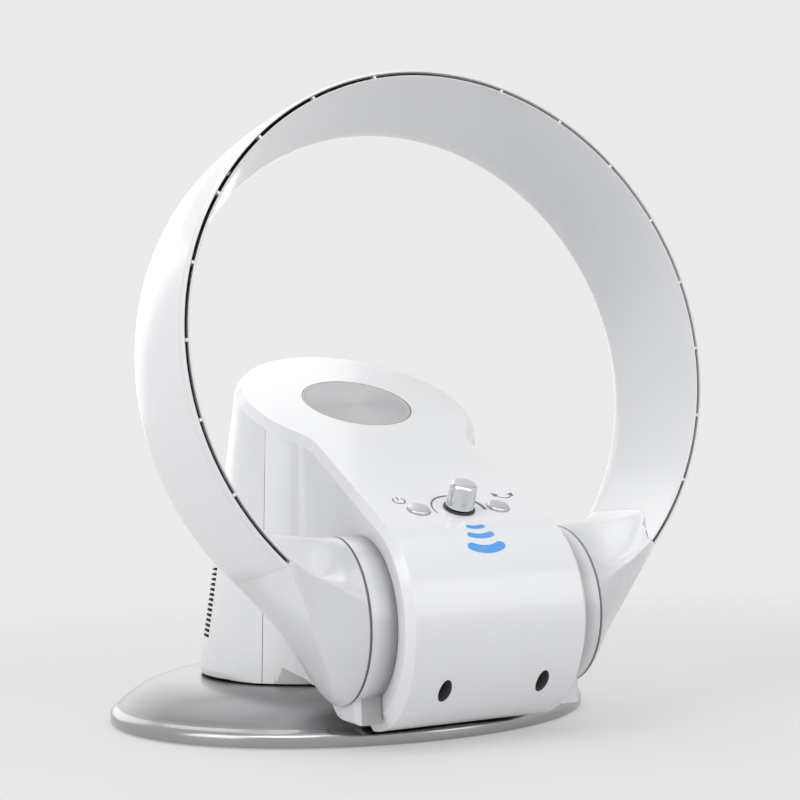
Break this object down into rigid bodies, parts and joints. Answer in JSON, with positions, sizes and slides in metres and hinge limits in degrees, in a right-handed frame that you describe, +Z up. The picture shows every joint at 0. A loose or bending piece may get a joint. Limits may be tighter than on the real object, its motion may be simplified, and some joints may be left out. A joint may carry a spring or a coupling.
{
  "type": "bladeless fan",
  "caption": "Table-top bladeless fan: an open air ring on two arms tilts on a drum-fronted column that swings on a round base",
  "frame": {"origin": "centre of the rest face, on the floor under the swing axis", "axes": "+Z up; the front of the fan faces -Y; +X is to the right of a viewer who faces the front"},
  "size_m": [0.314, 0.338, 0.3568],
  "materials": {
    "white_shell": "smooth gloss",
    "pale_shell": "fine matt",
    "silver": "silver paint, satin",
    "steel": "plain",
    "dark_plastic": "matt",
    "nylon": "waxy",
    "rubber": "matt",
    "board": "matt"
  },
  "bodies": {
    "base": {"base_cover": "silver", "base_plate": "dark_plastic", "anti_slip_pad": "rubber", "base_screw_1": "steel", "base_screw_2": "steel", "base_screw_3": "steel", "base_ballast": "steel", "slide_ring": "nylon", "swivel_motor": "steel"},
    "head": {"air_hood": "pale_shell", "badge_disc": "silver", "control_board": "board", "damper_ring": "rubber", "diffuser": "pale_shell", "fan_duct": "pale_shell", "foot_plate": "dark_plastic", "front_cover": "white_shell", "front_housing": "pale_shell", "front_screw_left": "steel", "front_screw_right": "steel", "knob_bezel": "dark_plastic", "knob_potentiometer": "dark_plastic", "left_collar": "white_shell", "left_friction_washer": "rubber", "left_switch": "dark_plastic", "lower_bearing": "steel", "motor_can": "steel", "motor_end_cap": "dark_plastic", "motor_stator": "steel", "power_inlet": "dark_plastic", "rear_housing": "white_shell", "remote_receiver": "dark_plastic", "right_collar": "white_shell", "right_friction_washer": "rubber", "right_switch": "dark_plastic", "swivel_gear": "nylon", "top_cover": "white_shell", "upper_bearing": "steel"},
    "air_ring": {"ring_outer_shell": "white_shell", "ring_inner_shell": "white_shell", "left_arm": "white_shell", "right_arm": "white_shell", "left_trunnion": "nylon", "right_trunnion": "nylon", "left_retainer": "steel", "right_retainer": "steel"},
    "blower_rotor": {"impeller": "dark_plastic", "motor_shaft": "steel", "motor_rotor": "steel"},
    "drive_pinion": {"swivel_pinion": "nylon"},
    "knob": {"control_knob": "steel"},
    "button_left": {"left_button": "silver"},
    "button_right": {"right_button": "silver"}
  },
  "joints": [
    {"name": "head_swing", "type": "hinge", "parent": "base", "child": "head", "pos_m": [0, 0, 0.025], "axis": [0, 0, 1], "range_deg": [-30, 30]},
    {"name": "pinion_spin", "type": "hinge", "parent": "base", "child": "drive_pinion", "pos_m": [0.03415, 0, 0.014], "axis": [0, 0, 1], "range_deg": [-75, 75]},
    {"name": "ring_tilt", "type": "hinge", "parent": "head", "child": "air_ring", "pos_m": [0, -0.1405, 0.0673], "axis": [1, 0, 0], "range_deg": [-12, 18]},
    {"name": "impeller_spin", "type": "hinge", "parent": "head", "child": "blower_rotor", "pos_m": [0, -0.008, 0.09], "axis": [0, 0, 1], "continuous": true},
    {"name": "knob_turn", "type": "hinge", "parent": "head", "child": "knob", "pos_m": [0, -0.15368, 0.12183], "axis": [0, -0.4587, 0.8886], "range_deg": [-270, 0]},
    {"name": "button_left_press", "type": "slide", "parent": "head", "child": "button_left", "axis": [0, 0.4587, -0.8886], "range_m": [0, 0.001], "stiffness_N_per_m": 400, "springref_m": -0.0005},
    {"name": "button_right_press", "type": "slide", "parent": "head", "child": "button_right", "axis": [0, 0.4587, -0.8886], "range_m": [0, 0.001], "stiffness_N_per_m": 400, "springref_m": -0.0005}
  ],
  "couplings": [
    {"joint": "pinion_spin", "follows": "head_swing", "ratio": -2.4}
  ]
}
